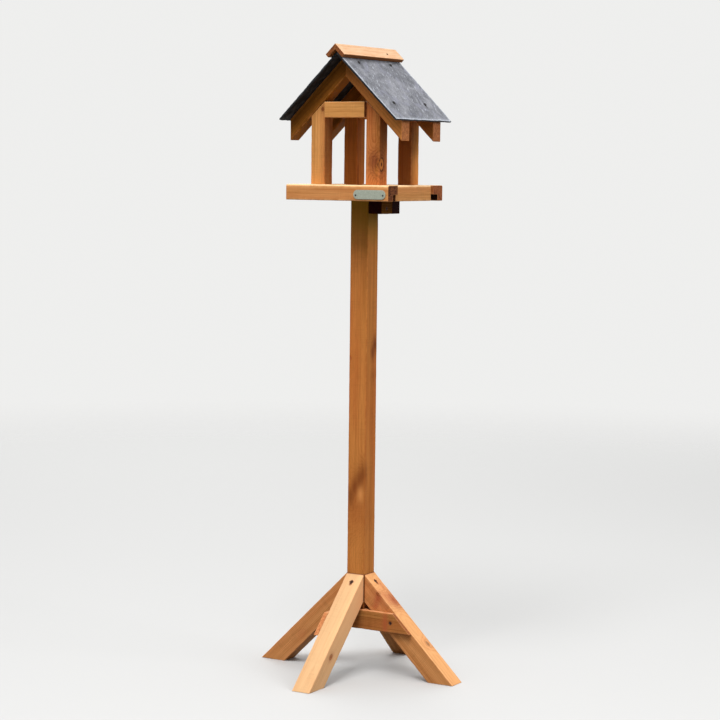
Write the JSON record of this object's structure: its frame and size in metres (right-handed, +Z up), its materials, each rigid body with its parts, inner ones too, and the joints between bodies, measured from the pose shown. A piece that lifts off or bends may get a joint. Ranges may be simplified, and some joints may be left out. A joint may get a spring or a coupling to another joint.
{
  "type": "bird table",
  "caption": "Free-standing timber bird table: a square post on splayed legs, a railed tray and an open house with a pitched slate roof.",
  "frame": {"origin": "on the ground, under the middle of the post, which is the middle of the four feet", "axes": "+Z up along the post; -Y is the gable end with the badge; +X is the right-hand slate"},
  "size_m": [0.4958, 0.4958, 1.3795],
  "materials": {
    "post_timber": "oiled, worn",
    "leg_timber": "oiled, sawn",
    "bracket_timber": "oiled, dark",
    "tray_timber": "oiled, planed",
    "house_timber": "oiled, planed",
    "roof_timber": "oiled, planed",
    "slate": "riven, matt",
    "steel": "dull, weathered",
    "badge_metal": "satin"
  },
  "bodies": {
    "root": {"post": "post_timber", "leg_right": "leg_timber", "brace_right": "leg_timber", "leg_screw_right": "steel", "brace_screw_right": "steel", "leg_back": "leg_timber", "brace_back": "leg_timber", "leg_screw_back": "steel", "brace_screw_back": "steel", "leg_left": "leg_timber", "brace_left": "leg_timber", "leg_screw_left": "steel", "brace_screw_left": "steel", "leg_front": "leg_timber", "brace_front": "leg_timber", "leg_screw_front": "steel", "brace_screw_front": "steel", "bracket_block": "bracket_timber", "bracket_screw_block": "steel", "bracket_batten": "bracket_timber", "bracket_screw_batten": "steel", "tray_rail_front": "tray_timber", "tray_rail_back": "tray_timber", "tray_rail_right": "tray_timber", "tray_rail_left": "tray_timber", "tray_floor": "tray_timber", "tray_screw_post": "steel", "tray_screw_block": "steel", "tray_screw_batten": "steel", "badge_plate": "badge_metal", "badge_pin_left": "badge_metal", "badge_pin_right": "badge_metal", "lintel_front": "house_timber", "lintel_back": "house_timber", "house_post_front_right": "house_timber", "rafter_front_right": "roof_timber", "slate_screw_front_right_low": "steel", "slate_screw_front_right_high": "steel", "house_post_back_right": "house_timber", "rafter_back_right": "roof_timber", "slate_screw_back_right_low": "steel", "slate_screw_back_right_high": "steel", "slate_right": "slate", "ridge_board_right": "roof_timber", "ridge_nail_right": "steel", "house_post_front_left": "house_timber", "rafter_front_left": "roof_timber", "slate_screw_front_left_low": "steel", "slate_screw_front_left_high": "steel", "house_post_back_left": "house_timber", "rafter_back_left": "roof_timber", "slate_screw_back_left_low": "steel", "slate_screw_back_left_high": "steel", "slate_left": "slate", "ridge_board_left": "roof_timber", "ridge_nail_left": "steel"}
  },
  "joints": []
}
